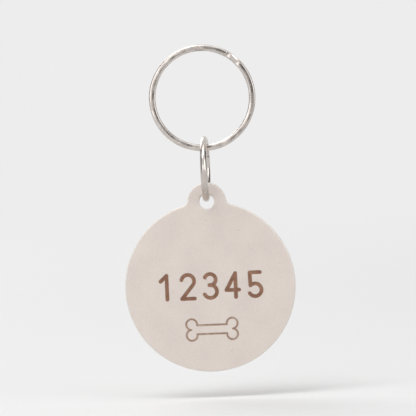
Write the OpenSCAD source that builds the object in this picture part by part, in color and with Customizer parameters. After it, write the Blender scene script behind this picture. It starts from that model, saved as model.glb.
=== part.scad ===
// Round pet tag that hangs from a key ring by a small wire link.
// The origin is the inside top of the key ring, where a collar's own ring carries it.
// +Z is up, +X is to the right of the marked face, and +Y goes from that face to the back.

/* [Tag] */
// Diameter of the disc
tag_d = 32; // [28:0.5:40]
// Thickness of the disc and its ear
tag_t = 1.5; // [1.2:0.1:2]
// Bevel all along the tag's edges
tag_bevel = 0.3; // [0.1:0.05:0.5]
// Diameter of the ear, which is centred on the disc's rim
ear_d = 7.2; // [6:0.1:9]
// Radius of the hollow corner where the ear meets the disc
ear_fillet_r = 1.2; // [0.6:0.1:2]
// Diameter of the hole in the ear
hole_d = 2.8; // [2.4:0.1:3.6]

/* [Marking] */
// Depth of the engraved grooves in the face
groove_depth = 0.25; // [0.15:0.05:0.4]
// How far the coloured infill stays below the face
infill_drop = 0.06; // [0.02:0.01:0.1]
// Height of a digit
digit_h = 5.2; // [4:0.1:6]
// Width of a digit
digit_w = 3.1; // [2.6:0.1:3.4]
// Distance from one digit to the next
digit_pitch = 4.2; // [4:0.1:4.8]
// Width of a digit's stroke
digit_stroke = 0.7; // [0.5:0.05:0.8]
// Length of the bone below the number
bone_l = 10; // [8:0.5:12]
// Height of the bone over its knobs
bone_h = 4.4; // [3.6:0.1:5]
// Width of the line that draws the bone
bone_stroke = 0.34; // [0.2:0.02:0.4]

/* [Split ring] */
// Outer diameter of the key ring
split_d = 20; // [18:0.5:25]
// Width of its flattened wire, across the ring
split_wire_w = 1.2; // [1:0.05:1.5]
// Thickness of one turn of the wire, along the ring's axis
split_wire_t = 0.7; // [0.6:0.05:0.9]
// Rounding of the wire's corners
split_edge_r = 0.28; // [0.15:0.01:0.29]
// Gap between the two turns
turn_gap = 0.1; // [0.06:0.01:0.2]
// Where the wire starts to cross from the front turn to the back one, from +X towards +Z
cross_at = 40; // [20:1:60]
// Length of that crossing, measured along the wire
cross_l = 2.8; // [2.2:0.1:4]
// Gap between a cut end of the wire and the crossing beside it
end_gap = 0.25; // [0.1:0.05:0.6]

/* [Link ring] */
// Outer diameter of the wire link
link_d = 12.4; // [11.4:0.2:14]
// Diameter of its round wire
link_wire_d = 1.3; // [1:0.05:1.5]
// Gap between the butted ends of the wire
link_cut = 0.12; // [0.06:0.01:0.3]
// Where the butted ends lie, from the back of the link towards its top
link_cut_at = 25; // [0:1:40]

/* [Fits] */
// Clearance round the key ring's wire as the link turns on it
seat_clear = 0.06; // [0.03:0.01:0.12]
// Clearance between the link's wire and the top of the tag's hole
hole_clear = 0.14; // [0.12:0.01:0.25]

/* [Hidden] */
$fn = 96;

// How far every cutter runs past the face that it opens
overrun = 0.5;

// Finish colours
POLISHED_WIRE = [0.80, 0.79, 0.78];
IVORY_COAT = [0.85, 0.81, 0.775];
BROWN_INFILL = [0.50, 0.35, 0.27];
PALE_INFILL = [0.62, 0.52, 0.46];

// Radii that follow from the diameters
tag_r = tag_d / 2;
ear_r = ear_d / 2;
hole_r = hole_d / 2;
split_line_r = (split_d - split_wire_w) / 2;
split_inner_r = split_d / 2 - split_wire_w;
link_wire_r = link_wire_d / 2;
link_line_r = link_d / 2 - link_wire_r;
link_inner_r = link_d / 2 - link_wire_d;

// The key ring's two turns and how far apart their middles are
turn_step = split_wire_t + turn_gap;
split_half_t = split_wire_t + turn_gap / 2;

// Farthest point of both turns' section from its own middle, which the link has to clear as it turns
section_reach = norm([split_wire_w / 2 - split_edge_r, split_half_t - split_edge_r]) + split_edge_r;

// Heights of the pieces, each hung on the one before it
split_z = -split_inner_r;
split_wire_z = split_z - split_line_r;
link_z = split_wire_z + section_reach + seat_clear - link_inner_r;
link_wire_z = link_z - link_line_r;
hole_z = link_wire_z - (hole_r - link_wire_r - hole_clear);
disc_z = hole_z - tag_r;

// Middle of the hollow corner between the disc and the ear, from the disc's middle
fillet_up = (pow(tag_r + ear_fillet_r, 2) - pow(ear_r + ear_fillet_r, 2) + pow(tag_r, 2)) / (2 * tag_r);
fillet_out = sqrt(pow(tag_r + ear_fillet_r, 2) - pow(fillet_up, 2));
// How deep the web of that corner is rooted in both, and how far the corner's cut crosses their rims
web_root = (ear_r - hole_r) / 2;
web_bite = 0.02;

// Height of the middle of each mark on the face, as a share of the disc's radius
number_up_share = 0.01;
bone_up_share = -0.5;

// Digits, in shares of the box that the middle of their strokes follows, with the angles where a bow ends
NUMBER = [1, 2, 3, 4, 5];
one_flag_share = [0.12, 0.76];
one_stem_share = 0.6;
two_neck_angle = -38;
two_tip_angle = 168;
three_top_share = 0.235;
three_low_share = 0.27;
three_tip_angle = 155;
three_waist_angle = 98;
four_bar_share = 0.3;
four_stem_share = 0.74;
five_corner_share = 0.12;
five_end_share = 0.92;
five_neck_angle = 135;
five_tip_angle = 150;
// Largest step of the sector that cuts a bow to length
sector_step = 30;
// How much slimmer a bar is than a bow on each side, and a dot than a bar, so that their edges cross
join_slim = 0.01;

// Bone, as shares of its height
knob_r_share = 0.27;
shaft_h_share = 0.46;

// Angles that the key ring's wire takes up along its middle line
cross_angle = cross_l / split_line_r * 180 / PI;
end_angle = end_gap / split_line_r * 180 / PI;
turn_angle = 360 - cross_angle - end_angle;
cross_steps = 12;
corner_steps = 4;
// How far each end of the crossing is rooted in its turn, and how much slimmer than the turn it is
cross_root = 0.3;
cross_slim = 0.02;
root_angle = cross_root / split_line_r * 180 / PI;

// Angle that the link's cut takes up along its wire
link_cut_angle = link_cut / link_line_r * 180 / PI;

// Plate of radius r and thickness t, with both its edges bevelled
module bevelled_plate(r, t, bevel) {
    rotate_extrude()
        polygon([
            [0, -t / 2], [r - bevel, -t / 2], [r, bevel - t / 2],
            [r, t / 2 - bevel], [r - bevel, t / 2], [0, t / 2]
        ]);
}

// Solid that cuts a round hole or hollow through a plate of thickness t and bevels both its edges
module bevelling_cutter(r, t, bevel) {
    top = t / 2 + overrun;
    rotate_extrude()
        polygon([
            [0, -top], [r + bevel + overrun, -top], [r, bevel - t / 2],
            [r, t / 2 - bevel], [r + bevel + overrun, top], [0, top]
        ]);
}

// Web that fills the hollow corner on one side of the ear
module ear_web() {
    ear_middle = [0, tag_r];
    corner = [fillet_out, fillet_up];
    in_disc = corner * (tag_r - web_root) / norm(corner);
    in_ear = ear_middle + (corner - ear_middle) * (ear_r - web_root) / norm(corner - ear_middle);
    difference() {
        translate([0, 0, -tag_t / 2])
            linear_extrude(tag_t) polygon([in_disc, corner, in_ear]);
        translate(corner) bevelling_cutter(ear_fillet_r + web_bite, tag_t, tag_bevel);
    }
}

// The tag's plate before it is marked, with the disc's middle at the origin
module plain_plate() {
    difference() {
        union() {
            bevelled_plate(tag_r, tag_t, tag_bevel);
            translate([0, tag_r]) bevelled_plate(ear_r, tag_t, tag_bevel);
            for (side = [0, 1])
                mirror([side, 0]) ear_web();
        }
        translate([0, tag_r]) bevelling_cutter(hole_r, tag_t, tag_bevel);
    }
}

function turned(angle) = [cos(angle), sin(angle)];

// Straight stroke of a digit
module bar(from, to, stroke) {
    run = to - from;
    width = stroke - 2 * join_slim;
    translate(from)
        rotate(atan2(run[1], run[0]))
            translate([0, -width / 2]) square([norm(run), width]);
}

// Round stroke of a digit, from angle a0 up to angle a1
module bow(middle, r, a0, a1, stroke) {
    steps = ceil((a1 - a0) / sector_step);
    reach = 2 * r + stroke;
    translate(middle)
        intersection() {
            difference() {
                circle(r + stroke / 2);
                circle(r - stroke / 2);
            }
            polygon([[0, 0], for (i = [0:steps]) reach * turned(a0 + (a1 - a0) * i / steps)]);
        }
}

// Round ends and corners of a digit's strokes
module dots(points, stroke) {
    for (point = points)
        translate(point) circle(d = stroke - 4 * join_slim);
}

// One digit from 1 to 5, with the middle of its strokes in a box of size w by h from the origin
module digit(n, w, h, stroke) {
    if (n == 1) {
        flag = [one_flag_share[0] * w, one_flag_share[1] * h];
        foot = [one_stem_share * w, 0];
        top = [one_stem_share * w, h];
        bar(flag, top, stroke);
        bar(foot, top, stroke);
        dots([flag, top, foot], stroke);
    }
    if (n == 2) {
        r = w / 2;
        middle = [r, h - r];
        neck = middle + r * turned(two_neck_angle);
        bow(middle, r, two_neck_angle, two_tip_angle, stroke);
        bar([0, 0], neck, stroke);
        bar([0, 0], [w, 0], stroke);
        dots([middle + r * turned(two_tip_angle), neck, [0, 0], [w, 0]], stroke);
    }
    if (n == 3) {
        top_r = three_top_share * h;
        low_r = three_low_share * h;
        top_middle = [w / 2, h - top_r];
        low_middle = [w / 2, low_r];
        bow(top_middle, top_r, -three_waist_angle, three_tip_angle, stroke);
        bow(low_middle, low_r, -three_tip_angle, three_waist_angle, stroke);
        dots([
            top_middle + top_r * turned(three_tip_angle),
            top_middle + top_r * turned(-three_waist_angle),
            low_middle + low_r * turned(-three_tip_angle)
        ], stroke);
    }
    if (n == 4) {
        stem = four_stem_share * w;
        left = [0, four_bar_share * h];
        right = [w, four_bar_share * h];
        bar(left, right, stroke);
        bar(left, [stem, h], stroke);
        bar([stem, 0], [stem, h], stroke);
        dots([left, right, [stem, 0], [stem, h]], stroke);
    }
    if (n == 5) {
        r = w / 2;
        middle = [r, r];
        neck = middle + r * turned(five_neck_angle);
        corner = [five_corner_share * w, h];
        end = [five_end_share * w, h];
        bar(corner, end, stroke);
        bar(neck, corner, stroke);
        bow(middle, r, -five_tip_angle, five_neck_angle, stroke);
        dots([end, corner, neck, middle + r * turned(-five_tip_angle)], stroke);
    }
}

// The row of digits, with its middle at the origin
module number_shape() {
    box = [digit_w - digit_stroke, digit_h - digit_stroke];
    for (i = [0:len(NUMBER) - 1])
        translate([(i - (len(NUMBER) - 1) / 2) * digit_pitch, 0] - box / 2)
            digit(NUMBER[i], box[0], box[1], digit_stroke);
}

// A bone drawn in by inset all round from its outer size
module bone_solid(inset) {
    knob_r = knob_r_share * bone_h;
    square([bone_l - 2 * knob_r, shaft_h_share * bone_h - 2 * inset], center = true);
    for (side = [-1, 1], up = [-1, 1])
        translate([side * (bone_l / 2 - knob_r), up * (bone_h / 2 - knob_r)])
            circle(knob_r - inset);
}

// The bone as a line, with its middle at the origin
module bone_shape() {
    difference() {
        bone_solid(0);
        bone_solid(bone_stroke);
    }
}

// Stands a drawing on the marked face, from a depth below the face up to a height over it
module on_face(up_share, depth, over) {
    translate([0, -tag_t / 2, disc_z + up_share * tag_r])
        rotate([90, 0, 0])
            translate([0, 0, -depth]) linear_extrude(depth + over) children();
}

// Disc with its ear, hole and engraved grooves
module tag_blank() {
    color(IVORY_COAT)
        difference() {
            translate([0, 0, disc_z]) rotate([90, 0, 0]) plain_plate();
            on_face(number_up_share, groove_depth, overrun) number_shape();
            on_face(bone_up_share, groove_depth, overrun) bone_shape();
        }
}

// Infill of the number's grooves
module number_fill() {
    color(BROWN_INFILL)
        on_face(number_up_share, groove_depth, -infill_drop) number_shape();
}

// Infill of the bone's groove
module bone_fill() {
    color(PALE_INFILL)
        on_face(bone_up_share, groove_depth, -infill_drop) bone_shape();
}

// Section of the crossing, as points from the wire's middle, outwards and along the ring's axis
function cross_section() = [
    for (corner = [0:3], i = [0:corner_steps])
        let (
            a = 90 * (corner + i / corner_steps),
            out = (corner == 0 || corner == 3) ? 1 : -1,
            along = corner < 2 ? 1 : -1
        )
        [out * (split_wire_w / 2 - split_edge_r), along * (split_wire_t / 2 - split_edge_r)]
            + (split_edge_r - cross_slim) * turned(a)
];

// Share of the crossing's step that is done at a share s of its length, with both ends level
function eased(s) = s * s * (3 - 2 * s);

// The crossing from the front turn to the back one, as rings of its section along the wire
module crossing() {
    section = cross_section();
    sides = len(section);
    stations = [
        [cross_at - root_angle, 0],
        for (i = [1:cross_steps - 1]) [cross_at + i / cross_steps * cross_angle, eased(i / cross_steps)],
        [cross_at + cross_angle + root_angle, 1]
    ];
    points = [
        for (station = stations, p = section)
            let (out = (split_line_r + p[0]) * turned(station[0]))
            [out[0], out[1], p[1] + turn_step * (1 / 2 - station[1])]
    ];
    walls = [
        for (i = [0:len(stations) - 2], j = [0:sides - 1])
            let (
                a = i * sides + j,
                b = i * sides + (j + 1) % sides
            )
            each [[a, b, a + sides], [b, b + sides, a + sides]]
    ];
    first_end = [for (j = [sides - 1:-1:0]) j];
    last_end = [for (j = [0:sides - 1]) (len(stations) - 1) * sides + j];
    polyhedron(points, concat(walls, [first_end, last_end]), convexity = 4);
}

// Section of one turn of the key ring's wire, with its middle at the origin
module wire_section() {
    flat_w = split_wire_w - 2 * split_edge_r;
    flat_t = split_wire_t - 2 * split_edge_r;
    square([split_wire_w, flat_t], center = true);
    square([flat_w, split_wire_t], center = true);
    for (out = [-1, 1], along = [-1, 1])
        translate([out * flat_w, along * flat_t] / 2) circle(split_edge_r);
}

// One flat turn of the key ring, from angle a0 round to its other end
module flat_turn(a0) {
    rotate(a0)
        rotate_extrude(angle = turn_angle)
            translate([split_line_r, 0]) wire_section();
}

// Key ring: two flat turns of one flattened wire, which crosses from the front one to the back one
module split_ring() {
    color(POLISHED_WIRE)
        translate([0, 0, split_z])
            rotate([90, 0, 0]) {
                translate([0, 0, turn_step / 2]) flat_turn(cross_at + cross_angle + end_angle);
                crossing();
                translate([0, 0, -turn_step / 2]) flat_turn(cross_at + cross_angle);
            }
}

// Link: one round wire bent to a ring until its ends butt
module link_ring() {
    color(POLISHED_WIRE)
        translate([0, 0, link_z])
            rotate([90, 0, 90])
                rotate(link_cut_at + link_cut_angle / 2)
                    rotate_extrude(angle = 360 - link_cut_angle)
                        translate([link_line_r, 0]) circle(link_wire_r);
}

split_ring();
link_ring();
tag_blank();
number_fill();
bone_fill();
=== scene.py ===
import math

import bmesh
import bpy
from mathutils import Matrix, Vector
from mathutils.geometry import delaunay_2d_cdt


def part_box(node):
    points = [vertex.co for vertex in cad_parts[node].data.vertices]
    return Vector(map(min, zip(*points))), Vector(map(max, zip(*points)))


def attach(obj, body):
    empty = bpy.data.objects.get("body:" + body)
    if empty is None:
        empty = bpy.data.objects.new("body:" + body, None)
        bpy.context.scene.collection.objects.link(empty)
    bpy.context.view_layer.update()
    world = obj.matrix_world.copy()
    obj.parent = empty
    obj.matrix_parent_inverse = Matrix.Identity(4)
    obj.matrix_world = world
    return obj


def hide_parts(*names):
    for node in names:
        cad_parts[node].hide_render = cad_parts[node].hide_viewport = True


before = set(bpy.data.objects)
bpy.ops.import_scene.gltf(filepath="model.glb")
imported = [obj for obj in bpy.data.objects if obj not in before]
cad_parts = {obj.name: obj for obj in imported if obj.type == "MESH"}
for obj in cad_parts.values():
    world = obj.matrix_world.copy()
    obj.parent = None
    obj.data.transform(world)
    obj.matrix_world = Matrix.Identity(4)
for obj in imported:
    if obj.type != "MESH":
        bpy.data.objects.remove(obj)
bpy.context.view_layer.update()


# Camera. It looks at the marked face a little from its right and from above, and leans as the
# photograph does. The picture is the photograph's square round the tag, enlarged to the whole frame.
MM = 0.001
DISC_MIDDLE_PX = Vector((214.1, 368.4))
RING_MIDDLE_PX = Vector((212.1, 323.0))
PICTURE_MIDDLE_PX = Vector((213.5, 349.5))
PICTURE_SIDE_PX = 100
VIEW_AZIMUTH = math.radians(3)
VIEW_ELEVATION = math.radians(3)
VIEW_DISTANCE = 900 * MM
SENSOR_W = 36 * MM

ring_low, ring_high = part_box("split_ring")
ring_r = (ring_high.x - ring_low.x) / 2
ring_middle = Vector((0, 0, ring_high.z - ring_r))
tag_low, tag_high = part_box("tag_blank")
disc_r = (tag_high.x - tag_low.x) / 2
disc_middle = Vector((0, 0, tag_low.z + disc_r))

hang_px = DISC_MIDDLE_PX - RING_MIDDLE_PX
metres_per_px = (ring_middle - disc_middle).length / hang_px.length
slant = math.atan2(hang_px.x, hang_px.y)
back = Vector((
    math.sin(VIEW_AZIMUTH) * math.cos(VIEW_ELEVATION),
    -math.cos(VIEW_AZIMUTH) * math.cos(VIEW_ELEVATION),
    math.sin(VIEW_ELEVATION),
))
level = Vector((math.cos(VIEW_AZIMUTH), math.sin(VIEW_AZIMUTH), 0))
upright = back.cross(level)
right = level * math.cos(slant) - upright * math.sin(slant)
up = level * math.sin(slant) + upright * math.cos(slant)
off_px = PICTURE_MIDDLE_PX - DISC_MIDDLE_PX
aim = disc_middle + (right * off_px.x - up * off_px.y) * metres_per_px

camera = bpy.data.objects.new("camera", bpy.data.cameras.new("camera"))
camera.data.sensor_width = SENSOR_W / MM
camera.data.lens = SENSOR_W / MM * VIEW_DISTANCE / (PICTURE_SIDE_PX * metres_per_px)
camera.matrix_world = Matrix.LocRotScale(
    aim + back * VIEW_DISTANCE, Matrix((right, up, back)).transposed(), None
)
bpy.context.scene.collection.objects.link(camera)
bpy.context.scene.camera = camera
bpy.context.scene.view_settings.view_transform = "Standard"


# Studio. A pale paper floor lies just below the hanging tag. To the camera it passes into an equally
# pale room. Soft boxes light the tag from the front, from above and from behind. Dark cards at the
# sides and behind the camera give the bright wires something dark to mirror.
FLOOR_BELOW = 5 * MM
FLOOR_R = 1400 * MM
FLOOR_SIDES = 96
FADE_FROM, FADE_TO = 100 * MM, 700 * MM
FLOOR_COLOUR = "#E8E8E8"
ROOM_COLOUR = "#EDEDED"
ROOM_LIGHT = 0.54
PAPER_TOOTH, PAPER_RELIEF = 0.9 * MM, 0.05 * MM
CARD_COLOUR = "#2A2A2B"
# Each card: its width, height and distance in metres, and its azimuth and elevation in degrees
CARDS = {
    "card_left": (0.50, 1.00, 0.75, -90, 20),
    "card_right": (0.50, 1.00, 0.75, 90, 20),
    "card_front": (0.25, 0.30, 1.00, 4, -1),
}
# Each soft box: the side of its square and its distance in metres, its azimuth and elevation in
# degrees, and its power in watts
SOFT_BOXES = {
    "key": (0.60, 1.00, -38, 56, 4.0),
    "fill": (0.60, 0.90, 48, 12, 1.5),
    "front": (0.50, 1.10, -20, 5, 1.1),
    "top": (0.45, 0.60, 20, 76, 0.6),
    "back": (0.60, 0.90, -150, 30, 2.3),
}
# Edges shorter than a sliver are closed up, and those that turn by more than a crease stay sharp
SLIVER = 0.0005 * MM
CREASE_DEG = 40


def linear(colour):
    """The linear RGBA of an sRGB hex colour."""
    parts = [int(colour[i:i + 2], 16) / 255 for i in (1, 3, 5)]
    return [p / 12.92 if p <= 0.04045 else ((p + 0.055) / 1.055) ** 2.4 for p in parts] + [1]


def add_node(tree, kind, inputs=None, **settings):
    """Adds a node with its settings. An input is a value, or the output socket that is linked to it."""
    made = tree.nodes.new("ShaderNode" + kind)
    for name, value in settings.items():
        setattr(made, name, value)
    for socket, value in (inputs or {}).items():
        if isinstance(value, bpy.types.NodeSocket):
            tree.links.new(value, made.inputs[socket])
        else:
            made.inputs[socket].default_value = value
    return made


def new_finish(name):
    """An empty material and its node tree."""
    made = bpy.data.materials.new(name)
    made.use_nodes = True
    made.node_tree.nodes.clear()
    return made, made.node_tree


def new_piece(name, bm, finish, crease=CREASE_DEG):
    """An object from a finished bmesh, smooth but for its creases."""
    mesh = bpy.data.meshes.new(name)
    bmesh.ops.dissolve_degenerate(bm, edges=bm.edges, dist=SLIVER)
    bmesh.ops.recalc_face_normals(bm, faces=bm.faces)
    bm.to_mesh(mesh)
    bm.free()
    mesh.shade_smooth()
    mesh.set_sharp_from_angle(angle=math.radians(crease))
    mesh.materials.append(finish)
    piece = bpy.data.objects.new(name, mesh)
    bpy.context.scene.collection.objects.link(piece)
    return piece


def face_the_tag(thing, away, azimuth, elevation):
    """Puts a card or lamp where it faces the tag from the given side, unseen by the camera."""
    a, e = math.radians(azimuth), math.radians(elevation)
    direction = Vector((math.sin(a) * math.cos(e), -math.cos(a) * math.cos(e), math.sin(e)))
    thing.location = aim + direction * away
    thing.rotation_euler = direction.to_track_quat("Z", "Y").to_euler()
    thing.visible_camera = False


def looked_at(tree):
    """1 where something is looked at, straight or mirrored, and 0 where it only gives light."""
    rays = add_node(tree, "LightPath")
    mirrored = add_node(tree, "Math", {
        0: rays.outputs["Is Camera Ray"], 1: rays.outputs["Is Glossy Ray"],
    }, operation="MAXIMUM")
    return add_node(tree, "Math", {
        0: mirrored.outputs[0], 1: rays.outputs["Is Transmission Ray"],
    }, operation="MAXIMUM").outputs[0]


# Pale room: it gives a soft even light, and it is looked at and mirrored as a plain pale grey
room = bpy.data.worlds.new("pale_room")
bpy.context.scene.world = room
room.use_nodes = True
tree = room.node_tree
tree.nodes.clear()
light = add_node(tree, "Background", {"Color": linear("#FFFFFF"), "Strength": ROOM_LIGHT})
seen = add_node(tree, "Background", {"Color": linear(ROOM_COLOUR), "Strength": 1})
either = add_node(tree, "MixShader", {0: looked_at(tree), 1: light.outputs[0], 2: seen.outputs[0]})
add_node(tree, "OutputWorld", {"Surface": either.outputs[0]})

# Matt paper: an even pale grey that keeps the tag's soft shadow, with a tooth drawn coarser than it
# is. Where it is looked at far from the tag, it takes the colour of the room.
paper, tree = new_finish("pale_matt_paper")
place = add_node(tree, "TexCoord")
tooth = add_node(tree, "TexNoise", {"Vector": place.outputs["Object"], "Scale": 1 / PAPER_TOOTH})
relief = add_node(tree, "Bump", {
    "Height": tooth.outputs[0], "Strength": 0.2, "Distance": PAPER_RELIEF,
})
surface = add_node(tree, "BsdfPrincipled", {
    "Base Color": linear(FLOOR_COLOUR), "Roughness": 0.9, "Normal": relief.outputs[0],
})
distance = add_node(tree, "VectorMath", {0: place.outputs["Object"]}, operation="LENGTH")
fade = add_node(tree, "MapRange", {
    "Value": distance.outputs["Value"], "From Min": FADE_FROM, "From Max": FADE_TO,
}, interpolation_type="SMOOTHSTEP")
seen_fade = add_node(tree, "Math", {0: fade.outputs[0], 1: looked_at(tree)}, operation="MULTIPLY")
seen = add_node(tree, "Emission", {"Color": linear(ROOM_COLOUR), "Strength": 1})
faded = add_node(tree, "MixShader", {
    0: seen_fade.outputs[0], 1: surface.outputs[0], 2: seen.outputs[0],
})
add_node(tree, "OutputMaterial", {"Surface": faded.outputs[0]})
bm = bmesh.new()
bmesh.ops.create_circle(bm, cap_ends=True, segments=FLOOR_SIDES, radius=FLOOR_R)
floor = new_piece("floor", bm, paper)
floor.location.z = tag_low.z - FLOOR_BELOW

# Dark matt card: it is seen only as the dark lines along the bright wires
card, tree = new_finish("dark_card")
surface = add_node(tree, "BsdfPrincipled", {"Base Color": linear(CARD_COLOUR), "Roughness": 0.9})
add_node(tree, "OutputMaterial", {"Surface": surface.outputs[0]})
for name, (wide, high, away, azimuth, elevation) in CARDS.items():
    # A square with a side of 1, stretched to the card's width and height
    bm = bmesh.new()
    bmesh.ops.create_grid(bm, size=0.5, matrix=Matrix.Diagonal((wide, high, 1, 1)))
    one_card = new_piece(name, bm, card)
    face_the_tag(one_card, away, azimuth, elevation)

for name, (side, away, azimuth, elevation, power) in SOFT_BOXES.items():
    lamp = bpy.data.objects.new(name, bpy.data.lights.new(name, "AREA"))
    lamp.data.size = side
    lamp.data.energy = power
    face_the_tag(lamp, away, azimuth, elevation)
    bpy.context.scene.collection.objects.link(lamp)


# Key ring. Spring steel wire, rolled flat with round corners and wound in two flat turns, then
# nickel-plated and polished. It crosses from the front turn to the back one beside its cut ends,
# and its own spring holds it shut.
RING_WIRE_W, RING_WIRE_T = 1.2 * MM, 0.7 * MM
RING_CORNER_R = 0.28 * MM
CORNER_STEPS = 6
TURN_GAP = 0.1 * MM
CROSS_AT = math.radians(40)
CROSS_L = 2.8 * MM
END_GAP = 0.25 * MM
CUT_ROUND = 0.06 * MM
RING_STEP = 0.25 * MM
NICKEL, NICKEL_DULL, NICKEL_RUBBED = "#D2CAC4", "#BAB1AB", "#A0958C"
NICKEL_ROUGHNESS, DULL_ROUGHNESS = 0.14, 0.27
SCRATCH_ROUGHER, RUB_ROUGHER = 0.1, 0.14
DRAW_LINE_W, DRAW_LINE_L = 0.14 * MM, 5 * MM
DULL_PATCH = 2.5 * MM
POLISH_WAVE, POLISH_WAVE_H = 4 * MM, 0.12 * MM
SCRATCH_W, SCRATCH_L = 0.1 * MM, 1.2 * MM
SCRATCH_LEAN = math.radians(55)
MARK_DEPTH = 0.005 * MM
RUB_L = 2.2 * MM


def flat_section(w, t, corner_r):
    """Points round a flat wire's section from its outermost one: how far out, and how far sideways."""
    points = []
    for turn, (out, side) in enumerate(((1, 1), (-1, 1), (-1, -1), (1, -1))):
        for i in range(CORNER_STEPS + 1):
            a = math.radians(90) * (turn + i / CORNER_STEPS)
            points.append((
                out * (w / 2 - corner_r) + corner_r * math.cos(a),
                side * (t / 2 - corner_r) + corner_r * math.sin(a),
            ))
    return points


def bridge(bm, first, second):
    """Faces between two closed loops of vertices."""
    for i in range(len(first)):
        bm.faces.new((first[i - 1], first[i], second[i], second[i - 1]))


def bent_wire(stations, section, line_r, place):
    """A wire swept through stations of (angle, sideways), with the edges of its cut ends taken off.

    place turns a distance from the ring's middle, an angle and a way sideways into a point. Each
    vertex keeps where it is along and across the wire, so that marks can follow the wire, and how
    much it is rubbed, which is inside the ring's top and bottom.
    """
    bm = bmesh.new()
    wire_place = bm.verts.layers.float_vector.new("wire_place")
    rub_share = bm.verts.layers.float.new("rub_share")
    half_w = section[0][0]
    cut_share = 1 - CUT_ROUND / half_w
    (first, first_side), (last, last_side) = stations[0], stations[-1]
    rings = [(first, first_side, cut_share), (first + CUT_ROUND / line_r, first_side, 1)]
    rings += [(angle, side, 1) for angle, side in stations[1:-1]]
    rings += [(last - CUT_ROUND / line_r, last_side, 1), (last, last_side, cut_share)]
    loops = []
    for angle, side, share in rings:
        loop = []
        for out, across in section:
            vert = bm.verts.new(place(line_r + out * share, angle, side + across * share))
            vert[wire_place] = (angle * line_r, out, across)
            from_rub = abs(math.cos(angle)) * line_r / RUB_L
            vert[rub_share] = max(1 - from_rub, 0) * max(-out / half_w, 0)
            loop.append(vert)
        loops.append(loop)
    for one, other in zip(loops, loops[1:]):
        bridge(bm, one, other)
    bm.faces.new(loops[0])
    bm.faces.new(loops[-1])
    return bm


def nickel_plate(name):
    """Nickel plate, polished over drawn wire: a warm bright grey that bends what it mirrors a little.

    Handling has dulled it in patches and left fine short scratches, and the loose rings rub each
    other down to the darker steel where they hang. The real marks are a tenth as wide, which
    wouldn't show.
    """
    finish, tree = new_finish(name)
    wire = add_node(tree, "Attribute", attribute_name="wire_place")

    # Draw lines along the wire, and scratches that lean across it
    along = add_node(tree, "VectorMath", {
        0: wire.outputs["Vector"], 1: (1 / DRAW_LINE_L, 1 / DRAW_LINE_W, 1 / DRAW_LINE_W),
    }, operation="MULTIPLY")
    lines = add_node(tree, "TexNoise", {"Vector": along.outputs[0], "Scale": 1, "Detail": 3})
    leaning = add_node(tree, "VectorRotate", {
        "Vector": wire.outputs["Vector"], "Axis": (0, 1, 1), "Angle": SCRATCH_LEAN,
    })
    across = add_node(tree, "VectorMath", {
        0: leaning.outputs[0], 1: (1 / SCRATCH_W, 1 / SCRATCH_L, 1 / SCRATCH_L),
    }, operation="MULTIPLY")
    scratches = add_node(tree, "TexNoise", {"Vector": across.outputs[0], "Scale": 1, "Detail": 2})
    scratch = add_node(tree, "MapRange", {
        "Value": scratches.outputs[0], "From Min": 0.64, "From Max": 0.74,
    })

    # Bright plate, its dull patches, and steel where the rings rub each other
    patches = add_node(tree, "TexNoise", {
        "Vector": wire.outputs["Vector"], "Scale": 1 / DULL_PATCH, "Detail": 4, "Roughness": 0.6,
    })
    dull = add_node(tree, "MapRange", {
        "Value": patches.outputs[0], "From Min": 0.42, "From Max": 0.72,
    })
    plate = add_node(tree, "MixRGB", {0: dull.outputs[0], 1: linear(NICKEL), 2: linear(NICKEL_DULL)})
    rub = add_node(tree, "Attribute", attribute_name="rub_share")
    ragged = add_node(tree, "Math", {
        0: rub.outputs["Fac"], 1: lines.outputs[0],
    }, operation="MULTIPLY")
    rubbed = add_node(tree, "MapRange", {
        "Value": ragged.outputs[0], "From Min": 0.12, "From Max": 0.4,
    })
    colour = add_node(tree, "MixRGB", {
        0: rubbed.outputs[0], 1: plate.outputs[0], 2: linear(NICKEL_RUBBED),
    })

    # Polish, which is rougher where the plate is dull, scratched or rubbed
    polish = add_node(tree, "MapRange", {
        "Value": dull.outputs[0], "To Min": NICKEL_ROUGHNESS, "To Max": DULL_ROUGHNESS,
    })
    scratched = add_node(tree, "Math", {
        0: scratch.outputs[0], 1: SCRATCH_ROUGHER, 2: polish.outputs[0],
    }, operation="MULTIPLY_ADD")
    roughness = add_node(tree, "Math", {
        0: rubbed.outputs[0], 1: RUB_ROUGHER, 2: scratched.outputs[0],
    }, operation="MULTIPLY_ADD")

    # Long low waves of the polishing wheel, and the fine marks on them
    waves = add_node(tree, "TexNoise", {
        "Vector": wire.outputs["Vector"], "Scale": 1 / POLISH_WAVE, "Detail": 1,
    })
    wavy = add_node(tree, "Bump", {
        "Height": waves.outputs[0], "Strength": 1, "Distance": POLISH_WAVE_H,
    })
    height = add_node(tree, "Math", {
        0: scratch.outputs[0], 1: -1, 2: lines.outputs[0],
    }, operation="MULTIPLY_ADD")
    relief = add_node(tree, "Bump", {
        "Height": height.outputs[0], "Strength": 0.4, "Distance": MARK_DEPTH,
        "Normal": wavy.outputs[0],
    })
    surface = add_node(tree, "BsdfPrincipled", {
        "Base Color": colour.outputs[0], "Metallic": 1, "Roughness": roughness.outputs[0],
        "Normal": relief.outputs[0],
    })
    add_node(tree, "OutputMaterial", {"Surface": surface.outputs[0]})
    return finish


def ring_place(away, angle, side):
    """A point of the key ring, whose axis runs from the marked face to the back."""
    return ring_middle + Vector((away * math.cos(angle), side, away * math.sin(angle)))


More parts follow.
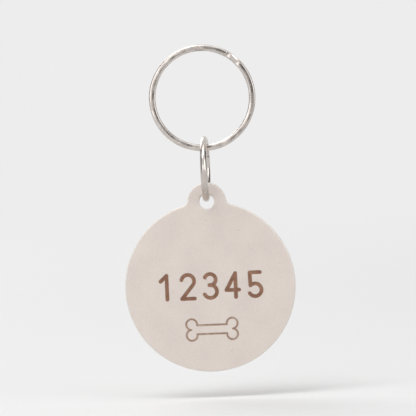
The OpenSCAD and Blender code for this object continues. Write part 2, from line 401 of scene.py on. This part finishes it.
ring_line_r = ring_r - RING_WIRE_W / 2
turn_side = (RING_WIRE_T + TURN_GAP) / 2
cross_angle = CROSS_L / ring_line_r
end_angle = END_GAP / ring_line_r
ring_start = CROSS_AT + cross_angle + end_angle - 2 * math.pi
ring_end = CROSS_AT - end_angle + 2 * math.pi
ring_steps = round((ring_end - ring_start) * ring_line_r / RING_STEP)
ring_stations = []
for i in range(ring_steps + 1):
    angle = ring_start + (ring_end - ring_start) * i / ring_steps
    share = min(max((angle - CROSS_AT) / cross_angle, 0), 1)
    eased = share * share * (3 - 2 * share)
    ring_stations.append((angle, (2 * eased - 1) * turn_side))

ring_section = flat_section(RING_WIRE_W, RING_WIRE_T, RING_CORNER_R)
key_ring = new_piece(
    "key_ring",
    bent_wire(ring_stations, ring_section, ring_line_r, ring_place),
    nickel_plate("nickel_plated_spring_wire"),
)
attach(key_ring, "key_ring")
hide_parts("split_ring")


# Link. Soft nickel-plated steel wire, cut to length and bent with pliers into a ring until its ends
# butt. It hangs on the bottom of the key ring, round both its turns.
LINK_WIRE_R = 0.65 * MM
LINK_CUT = 0.12 * MM
LINK_CUT_AT = math.radians(25)
LINK_STEPS = 180
LINK_SIDES = 28

link_low, link_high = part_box("link_ring")
link_middle = Vector((0, 0, (link_low.z + link_high.z) / 2))
link_line_r = (link_high.z - link_low.z) / 2 - LINK_WIRE_R
link_gap = LINK_CUT / link_line_r
link_stations = [
    (LINK_CUT_AT + link_gap / 2 + (2 * math.pi - link_gap) * i / LINK_STEPS, 0)
    for i in range(LINK_STEPS + 1)
]
link_section = []
for i in range(LINK_SIDES):
    a = 2 * math.pi * i / LINK_SIDES
    link_section.append((LINK_WIRE_R * math.cos(a), LINK_WIRE_R * math.sin(a)))


def link_place(away, angle, side):
    """A point of the link, whose axis runs from left to right."""
    return link_middle + Vector((side, away * math.cos(angle), away * math.sin(angle)))


link = new_piece(
    "link",
    bent_wire(link_stations, link_section, link_line_r, link_place),
    nickel_plate("nickel_plated_soft_wire"),
)
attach(link, "link")
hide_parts("link_ring")


# Tag. A disc with an ear, stamped from steel sheet, engraved, tumbled until its edges are round, and
# sprayed with a matt ivory coat. The link goes through the hole in its ear.
EAR_R = 3.6 * MM
EAR_CORNER_R = 1.2 * MM
HOLE_R = 1.4 * MM
EDGE_R = 0.3 * MM
EDGE_STEPS = 6
FLAT_INSET = 0.42 * MM
# More than one step of a round edge, and less than the turn at a shoulder of a groove
TAG_CREASE_DEG = 20
DISC_STEPS, EAR_STEPS, CORNER_ARC_STEPS, HOLE_STEPS = 200, 40, 12, 56
GROOVE_DEPTH = 0.25 * MM
SHOULDER_W, SHOULDER_DROP = 0.07 * MM, 0.05 * MM
NET_PITCH = 1.2 * MM
IVORY, IVORY_DARK, IVORY_THIN_AND_HIGHLIGHT = "#DAD0C8", "#D3C8C1", "#ECE5DE"
FILM = "#9A7C6C"
WORN_STEEL = "#A8A29D"
DUST = "#A39486"
COAT_ROUGHNESS = (0.46, 0.62)
STEEL_SMOOTHER = 0.2
THIN_AND_HIGHLIGHT_AT_EDGE, FILM_COVER = 0.85, 0.5
CLOUD = 5 * MM
GRAIN = 0.35 * MM
ORANGE_PEEL, PEEL_DEPTH = 0.8 * MM, 0.02 * MM
GRAIN_IN_PEEL = 0.35
DUST_PITCH, DUST_R = 2.2 * MM, 0.14 * MM
DUST_CORE_SHARE = 0.4
DUSTY_CELLS_SHARE = 0.4
RUB_R = 1.1 * MM
RUB_CORE_SHARE = 0.3

# Places on the face are from the disc's middle, to the right and up
plate_t = tag_high.y - tag_low.y
ear_up = disc_r
corner_up = ((disc_r + EAR_CORNER_R) ** 2 - (EAR_R + EAR_CORNER_R) ** 2 + ear_up ** 2) / (2 * ear_up)
corner_out = math.sqrt((disc_r + EAR_CORNER_R) ** 2 - corner_up ** 2)
disc_angle = math.atan2(corner_up, corner_out)
ear_angle = math.atan2(corner_up - ear_up, corner_out)


def arc(middle, r, a0, a1, steps):
    """Points along an arc on the face, from angle a0 to angle a1."""
    angles = [a0 + (a1 - a0) * i / steps for i in range(steps + 1)]
    return [Vector(middle) + r * Vector((math.cos(a), math.sin(a))) for a in angles]


def plate_outline(inset):
    """The outline of the disc and its ear, drawn in by inset."""
    corner_r = EAR_CORNER_R + inset
    disc = arc((0, 0), disc_r - inset, math.pi - disc_angle, 2 * math.pi + disc_angle, DISC_STEPS)
    right_corner = arc(
        (corner_out, corner_up), corner_r, math.pi + disc_angle, math.pi + ear_angle, CORNER_ARC_STEPS
    )
    ear = arc((0, ear_up), EAR_R - inset, ear_angle, math.pi - ear_angle, EAR_STEPS)
    left_corner = arc(
        (-corner_out, corner_up), corner_r, -ear_angle, -disc_angle, CORNER_ARC_STEPS
    )
    return disc[:-1] + right_corner[:-1] + ear[:-1] + left_corner[:-1]


def hole_outline(inset):
    """The outline of the ear's hole, widened by inset."""
    return arc((0, ear_up), HOLE_R + inset, 0, 2 * math.pi, HOLE_STEPS)[:-1]


# Grooves of the number. Each digit is a few strokes of one round-nosed cutter, drawn by the paths
# of its middle. Places are shares of the box that these paths fill, and bows end at angles in degrees.
NUMBER = (1, 2, 3, 4, 5)
NUMBER_UP_SHARE = 0.01
DIGIT_H, DIGIT_W = 5.2 * MM, 3.1 * MM
DIGIT_PITCH = 4.2 * MM
DIGIT_STROKE = 0.7 * MM
ONE_FLAG_SHARES, ONE_STEM_SHARE = (0.12, 0.76), 0.6
TWO_NECK_DEG, TWO_TIP_DEG = -38, 168
THREE_TOP_SHARE, THREE_LOW_SHARE = 0.235, 0.27
THREE_WAIST_DEG, THREE_TIP_DEG = 98, 155
FOUR_BAR_SHARE, FOUR_STEM_SHARE = 0.3, 0.74
FIVE_CORNER_SHARE, FIVE_END_SHARE = 0.12, 0.92
FIVE_TIP_DEG, FIVE_NECK_DEG = -150, 135
BOW_STEPS = 28
CAP_STEPS = 8


def bow(middle, r, a0, a1):
    """Points along an arc on the face, from a0 to a1 degrees."""
    return arc(middle, r, math.radians(a0), math.radians(a1), BOW_STEPS)


def digit_paths(n, w, h):
    """The paths of a digit from 1 to 5, in a box of size w by h from the origin."""
    def at(right_share, up_share):
        return Vector((right_share * w, up_share * h))

    r = w / 2
    if n == 1:
        top = at(ONE_STEM_SHARE, 1)
        return [[at(*ONE_FLAG_SHARES), top], [at(ONE_STEM_SHARE, 0), top]]
    if n == 2:
        round_top = bow((r, h - r), r, TWO_NECK_DEG, TWO_TIP_DEG)
        return [round_top, [at(0, 0), round_top[0]], [at(0, 0), at(1, 0)]]
    if n == 3:
        top_r, low_r = THREE_TOP_SHARE * h, THREE_LOW_SHARE * h
        return [
            bow((r, h - top_r), top_r, -THREE_WAIST_DEG, THREE_TIP_DEG),
            bow((r, low_r), low_r, -THREE_TIP_DEG, THREE_WAIST_DEG),
        ]
    if n == 4:
        left, top = at(0, FOUR_BAR_SHARE), at(FOUR_STEM_SHARE, 1)
        return [[left, at(1, FOUR_BAR_SHARE)], [left, top], [at(FOUR_STEM_SHARE, 0), top]]
    belly = bow((r, r), r, FIVE_TIP_DEG, FIVE_NECK_DEG)
    corner = at(FIVE_CORNER_SHARE, 1)
    return [[corner, at(FIVE_END_SHARE, 1)], [belly[-1], corner], belly]


digit_box = Vector((DIGIT_W - DIGIT_STROKE, DIGIT_H - DIGIT_STROKE))
number_paths = []
for i, n in enumerate(NUMBER):
    digit_middle = Vector(((i - (len(NUMBER) - 1) / 2) * DIGIT_PITCH, NUMBER_UP_SHARE * disc_r))
    corner = digit_middle - digit_box / 2
    number_paths += [[corner + p for p in path] for path in digit_paths(n, *digit_box)]

# Groove of the bone, one line round its four knobs and its shaft
BONE_UP_SHARE = -0.5
BONE_L, BONE_H = 10 * MM, 4.4 * MM
BONE_STROKE = 0.34 * MM
KNOB_R_SHARE, SHAFT_H_SHARE = 0.27, 0.46

knob_r = KNOB_R_SHARE * BONE_H
knob_line_r = knob_r - BONE_STROKE / 2
knob_out, knob_up = BONE_L / 2 - knob_r, BONE_H / 2 - knob_r
shaft_up = (SHAFT_H_SHARE * BONE_H - BONE_STROKE) / 2
notch_angle = -math.degrees(math.asin(knob_up / knob_line_r))
shaft_angle = 180 + math.degrees(math.asin((knob_up - shaft_up) / knob_line_r))
knob_path = bow((knob_out, knob_up), knob_line_r, notch_angle, shaft_angle)
shaft_path = [Vector((side * knob_path[-1].x, shaft_up)) for side in (-1, 1)]
bone_middle = Vector((0, BONE_UP_SHARE * disc_r))
bone_paths = [
    [bone_middle + Vector((side * p.x, over * p.y)) for p in path]
    for path, sides in ((knob_path, (-1, 1)), (shaft_path, (1,)))
    for side in sides
    for over in (-1, 1)
]
MARKS = ((number_paths, DIGIT_STROKE / 2), (bone_paths, BONE_STROKE / 2))


def band(path, half_w):
    """The outline of a stroke along a path, with round ends."""
    outline = []
    for points in (path, path[::-1]):
        for i, p in enumerate(points):
            run = (points[min(i + 1, len(points) - 1)] - points[max(i - 1, 0)]).normalized()
            outline.append(p + half_w * Vector((run.y, -run.x)))
        last = (points[-1] - points[-2]).normalized()
        a = math.atan2(-last.x, last.y)
        outline += arc(points[-1], half_w, a, a + math.pi, CAP_STEPS)[1:-1]
    return outline


def off_path(point, paths):
    """How far a point on the face is from the nearest path."""
    nearest = math.inf
    for path in paths:
        for a, b in zip(path, path[1:]):
            share = min(max((point - a).dot(b - a) / (b - a).length_squared, 0), 1)
            nearest = min(nearest, (point - a - share * (b - a)).length)
    return nearest


# The kind of cut that keeps what the polygons hold, and how close two points count as one
INSIDE_ONLY = 1
CUT_TOLERANCE_MM = 1e-5


def cut_sheet(polygons, net=()):
    """Cuts a flat sheet along polygons, and through the points of a net.

    It returns the points, the number that each had in the input or None, and for each triangle that
    a polygon holds its corners and the set of all polygons that hold it.
    """
    points, faces = [], []
    for polygon in polygons:
        faces.append(range(len(points), len(points) + len(polygon)))
        points += polygon
    points = [p / MM for p in [*points, *net]]
    cut, _, corners, before, _, holders = delaunay_2d_cdt(
        points, [], faces, INSIDE_ONLY, CUT_TOLERANCE_MM
    )
    return (
        [p * MM for p in cut],
        [min(b) if b else None for b in before],
        [(c, set(h)) for c, h in zip(corners, holders) if h],
    )


def below_face(p, depth):
    """The point at a place on the face and a depth below it."""
    return (p.x, tag_low.y + depth, disc_middle.z + p.y)


def edges_round(corners):
    """The edges of a triangle, each from one corner to the next."""
    return set(zip(corners, corners[1:] + corners[:1]))


def wall(bm, edges, top, bottom):
    """Faces from top to bottom along the outer edges, which no second triangle shares."""
    for a, b in edges:
        if (b, a) not in edges:
            bm.faces.new((top[a], top[b], bottom[b], bottom[a]))


bm = bmesh.new()
edge_share = bm.verts.layers.float.new("edge_share")
film_share = bm.verts.layers.float.new("film_share")


def tag_vert(p, depth, edge=0.0, film=0.0):
    """A vertex of the tag, with its shares of the round edge and of the brown film."""
    vert = bm.verts.new(below_face(p, depth))
    vert[edge_share] = edge
    vert[film_share] = film
    return vert


# Round edges of the outline and the hole, from the marked face to the back. Each station has an
# inset, a depth and its share of the round edge.
front_edge = [(FLAT_INSET, 0, 0)]
for i in range(EDGE_STEPS + 1):
    a = math.radians(90) * i / EDGE_STEPS
    front_edge.append((EDGE_R * (1 - math.sin(a)), EDGE_R * (1 - math.cos(a)), math.sin(a)))
back_edge = [(inset, plate_t - depth, edge) for inset, depth, edge in reversed(front_edge)]
front_rim, back_rim = [], []
for outline in (plate_outline, hole_outline):
    loops = [
        [tag_vert(p, depth, edge) for p in outline(inset)]
        for inset, depth, edge in front_edge + back_edge
    ]
    for one, other in zip(loops, loops[1:]):
        bridge(bm, one, other)
    front_rim += loops[0]
    back_rim += loops[-1]

# Marked face with its grooves, and the plain back. The sheet's polygon 1 is the rim of the hole. A
# staggered net of points keeps long thin triangles, which would shade in streaks, off the flats.
HOLE_RIM = 1
net_rows = round(2 * disc_r / NET_PITCH)
net = [
    Vector((x + 0.5 * (y % 2), y)) * NET_PITCH
    for x in range(-net_rows, net_rows)
    for y in range(-net_rows, net_rows)
]
rims = [plate_outline(FLAT_INSET), hole_outline(FLAT_INSET)]
shoulders = [band(path, half_w + SHOULDER_W) for paths, half_w in MARKS for path in paths]
floors = [band(path, half_w) for paths, half_w in MARKS for path in paths]
first_floor = len(rims) + len(shoulders)
sheet_points, before, triangles = cut_sheet(rims + shoulders + floors, net)
triangles = [(corners, holders) for corners, holders in triangles if HOLE_RIM not in holders]
used = {i for corners, _ in triangles for i in corners}
top = {}
for i in used:
    if before[i] is not None and before[i] < len(front_rim):
        top[i] = front_rim[before[i]]
    else:
        p = sheet_points[i]
        sunk = max(
            min(max((half_w + SHOULDER_W - off_path(p, paths)) / SHOULDER_W, 0), 1)
            for paths, half_w in MARKS
        )
        top[i] = tag_vert(p, SHOULDER_DROP * sunk, film=sunk)
bottom = {}
groove_edges = set()
for corners, holders in triangles:
    if max(holders) < first_floor:
        bm.faces.new([top[i] for i in corners])
        continue
    for i in corners:
        if i not in bottom:
            bottom[i] = tag_vert(sheet_points[i], GROOVE_DEPTH)
    bm.faces.new([bottom[i] for i in corners])
    groove_edges |= edges_round(corners)
wall(bm, groove_edges, top, bottom)
sheet_points, before, triangles = cut_sheet(rims, net)
behind = {}
for corners, holders in triangles:
    if HOLE_RIM in holders:
        continue
    for i in corners:
        if i not in behind:
            on_rim = before[i] is not None and before[i] < len(back_rim)
            behind[i] = back_rim[before[i]] if on_rim else tag_vert(sheet_points[i], plate_t)
    bm.faces.new([behind[i] for i in corners])
bmesh.ops.delete(bm, geom=[v for v in bm.verts if not v.link_faces], context="VERTS")

# Matt ivory powder coat: a flat pale skin, a little clouded, with a fine grain and orange peel and a
# few specks of dust. It is thinner and lighter over the round edges, and that lightening is also a
# painted highlight along the rim. It has a film of brown at the grooves, and is rubbed to steel where
# the link carries it. The grain is drawn coarser than it is.
ivory_coat, tree = new_finish("matt_ivory_powder_coat")
place = add_node(tree, "TexCoord")
edge = add_node(tree, "Attribute", attribute_name="edge_share")
film = add_node(tree, "Attribute", attribute_name="film_share")
clouds = add_node(tree, "TexNoise", {
    "Vector": place.outputs["Object"], "Scale": 1 / CLOUD, "Detail": 3, "Roughness": 0.55,
})
grain = add_node(tree, "TexNoise", {"Vector": place.outputs["Object"], "Scale": 1 / GRAIN, "Detail": 2})
mottle = add_node(tree, "Math", {0: clouds.outputs[0], 1: grain.outputs[0]}, operation="ADD")
mottled = add_node(tree, "MapRange", {"Value": mottle.outputs[0], "From Min": 0.75, "From Max": 1.3})
coat = add_node(tree, "MixRGB", {0: mottled.outputs[0], 1: linear(IVORY), 2: linear(IVORY_DARK)})
# Lighter over the round edges: the coat is thinner there, and this is also a painted highlight along
# the rim
thin = add_node(tree, "Math", {0: edge.outputs["Fac"], 1: THIN_AND_HIGHLIGHT_AT_EDGE}, operation="MULTIPLY")
thinned_and_highlit = add_node(tree, "MixRGB", {0: thin.outputs[0], 1: coat.outputs[0], 2: linear(IVORY_THIN_AND_HIGHLIGHT)})
filmed = add_node(tree, "Math", {0: film.outputs["Fac"], 1: FILM_COVER}, operation="MULTIPLY")
stained = add_node(tree, "MixRGB", {0: filmed.outputs[0], 1: thinned_and_highlit.outputs[0], 2: linear(FILM)})

# Specks of dust, in some cells of a pattern
cells = add_node(tree, "TexVoronoi", {"Vector": place.outputs["Object"], "Scale": 1 / DUST_PITCH})
cell_pick = add_node(tree, "SeparateColor", {0: cells.outputs["Color"]})
picked = add_node(tree, "Math", {
    0: cell_pick.outputs[0], 1: 1 - DUSTY_CELLS_SHARE,
}, operation="GREATER_THAN")
speck_r = DUST_R / DUST_PITCH
near = add_node(tree, "MapRange", {
    "Value": cells.outputs["Distance"], "From Min": speck_r, "From Max": DUST_CORE_SHARE * speck_r,
})
dust = add_node(tree, "Math", {0: picked.outputs[0], 1: near.outputs[0]}, operation="MULTIPLY")
dusty = add_node(tree, "MixRGB", {0: dust.outputs[0], 1: stained.outputs[0], 2: linear(DUST)})

# Bare steel on the hole's upper edge, where the link carries the tag
rub_middle = (0, 0, disc_middle.z + ear_up + HOLE_R)
level_place = add_node(tree, "VectorMath", {
    0: place.outputs["Object"], 1: (1, 0, 1),
}, operation="MULTIPLY")
from_rub = add_node(tree, "VectorMath", {
    0: level_place.outputs[0], 1: rub_middle,
}, operation="DISTANCE")
close = add_node(tree, "MapRange", {
    "Value": from_rub.outputs["Value"], "From Min": RUB_R, "From Max": RUB_CORE_SHARE * RUB_R,
})
rubbed_edge = add_node(tree, "Math", {
    0: close.outputs[0], 1: edge.outputs["Fac"],
}, operation="MULTIPLY")
ragged = add_node(tree, "Math", {0: rubbed_edge.outputs[0], 1: grain.outputs[0]}, operation="MULTIPLY")
bare = add_node(tree, "MapRange", {"Value": ragged.outputs[0], "From Min": 0.2, "From Max": 0.32})
colour = add_node(tree, "MixRGB", {0: bare.outputs[0], 1: dusty.outputs[0], 2: linear(WORN_STEEL)})

# Orange peel with the grain on it, and how matt the coat and the steel are
peel = add_node(tree, "TexNoise", {
    "Vector": place.outputs["Object"], "Scale": 1 / ORANGE_PEEL, "Detail": 2,
})
tooth = add_node(tree, "Math", {
    0: grain.outputs[0], 1: GRAIN_IN_PEEL, 2: peel.outputs[0],
}, operation="MULTIPLY_ADD")
relief = add_node(tree, "Bump", {
    "Height": tooth.outputs[0], "Strength": 0.6, "Distance": PEEL_DEPTH,
})
roughness = add_node(tree, "MapRange", {
    "Value": grain.outputs[0], "To Min": COAT_ROUGHNESS[0], "To Max": COAT_ROUGHNESS[1],
})
polished = add_node(tree, "Math", {
    0: bare.outputs[0], 1: -STEEL_SMOOTHER, 2: roughness.outputs[0],
}, operation="MULTIPLY_ADD")
surface = add_node(tree, "BsdfPrincipled", {
    "Base Color": colour.outputs[0], "Metallic": bare.outputs[0], "Roughness": polished.outputs[0],
    "IOR": 1.5, "Normal": relief.outputs[0],
})
add_node(tree, "OutputMaterial", {"Surface": surface.outputs[0]})

tag = new_piece("tag", bm, ivory_coat, TAG_CREASE_DEG)
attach(tag, "tag")
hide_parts("tag_blank")


# Infill of the number and of the bone. Matt enamel, wiped into the grooves and baked, where it
# shrinks a little below the face and hollows in the middle of each stroke.
INFILL_DROP = 0.06 * MM
INFILL_HOLLOW = 0.04 * MM
BROWN, BROWN_THIN = "#7B543F", "#916B55"
PALE_BROWN, PALE_BROWN_THIN = "#967B69", "#AC9686"
ENAMEL_ROUGHNESS = (0.48, 0.68)
WIPED_EDGE_POWER, WIPED_EDGE_SHARE = 4, 0.2
INNER_BAND_SHARE = 0.5
PAINT_CLOUD = 1.1 * MM
PAINT_GRAIN, PAINT_GRAIN_H = 0.3 * MM, 0.01 * MM


def infill(paths, half_w):
    """The enamel in the grooves along paths. An inner band of points lets each stroke hollow."""
    bm = bmesh.new()
    edge_share = bm.verts.layers.float.new("edge_share")
    bands = [band(path, share * half_w) for path in paths for share in (1, INNER_BAND_SHARE)]
    points, _, triangles = cut_sheet(bands)
    edges = set()
    top, bottom = {}, {}
    for corners, _ in triangles:
        for i in corners:
            if i not in top:
                p = points[i]
                out = min(off_path(p, paths) / half_w, 1)
                depth = INFILL_DROP + INFILL_HOLLOW * (1 - out * out)
                top[i] = bm.verts.new(below_face(p, depth))
                top[i][edge_share] = out
                bottom[i] = bm.verts.new(below_face(p, GROOVE_DEPTH))
        bm.faces.new([top[i] for i in corners])
        bm.faces.new([bottom[i] for i in reversed(corners)])
        edges |= edges_round(corners)
    wall(bm, edges, top, bottom)
    return bm


def matt_enamel(name, colour, thin_colour):
    """Matt baked enamel: an earthy flat brown, paler in patches and along a stroke's edges, where it
    was wiped thin. Its fine grain is drawn coarser than it is.
    """
    finish, tree = new_finish(name)
    place = add_node(tree, "TexCoord")
    clouds = add_node(tree, "TexNoise", {
        "Vector": place.outputs["Object"], "Scale": 1 / PAINT_CLOUD, "Detail": 3,
    })
    edge = add_node(tree, "Attribute", attribute_name="edge_share")
    outer = add_node(tree, "Math", {
        0: edge.outputs["Fac"], 1: WIPED_EDGE_POWER,
    }, operation="POWER")
    wiped = add_node(tree, "Math", {
        0: outer.outputs[0], 1: WIPED_EDGE_SHARE, 2: clouds.outputs[0],
    }, operation="MULTIPLY_ADD")
    thin = add_node(tree, "MapRange", {"Value": wiped.outputs[0], "From Min": 0.42, "From Max": 0.7})
    patchy = add_node(tree, "MixRGB", {0: thin.outputs[0], 1: linear(colour), 2: linear(thin_colour)})
    grain = add_node(tree, "TexNoise", {
        "Vector": place.outputs["Object"], "Scale": 1 / PAINT_GRAIN, "Detail": 2,
    })
    roughness = add_node(tree, "MapRange", {
        "Value": grain.outputs[0], "To Min": ENAMEL_ROUGHNESS[0], "To Max": ENAMEL_ROUGHNESS[1],
    })
    relief = add_node(tree, "Bump", {
        "Height": grain.outputs[0], "Strength": 0.5, "Distance": PAINT_GRAIN_H,
    })
    surface = add_node(tree, "BsdfPrincipled", {
        "Base Color": patchy.outputs[0], "Roughness": roughness.outputs[0], "IOR": 1.52,
        "Normal": relief.outputs[0],
    })
    add_node(tree, "OutputMaterial", {"Surface": surface.outputs[0]})
    return finish


number_infill = new_piece(
    "number_infill", infill(number_paths, DIGIT_STROKE / 2),
    matt_enamel("matt_brown_enamel", BROWN, BROWN_THIN),
)
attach(number_infill, "tag")
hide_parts("number_fill")

bone_infill = new_piece(
    "bone_infill", infill(bone_paths, BONE_STROKE / 2),
    matt_enamel("matt_pale_brown_enamel", PALE_BROWN, PALE_BROWN_THIN),
)
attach(bone_infill, "tag")
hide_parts("bone_fill")
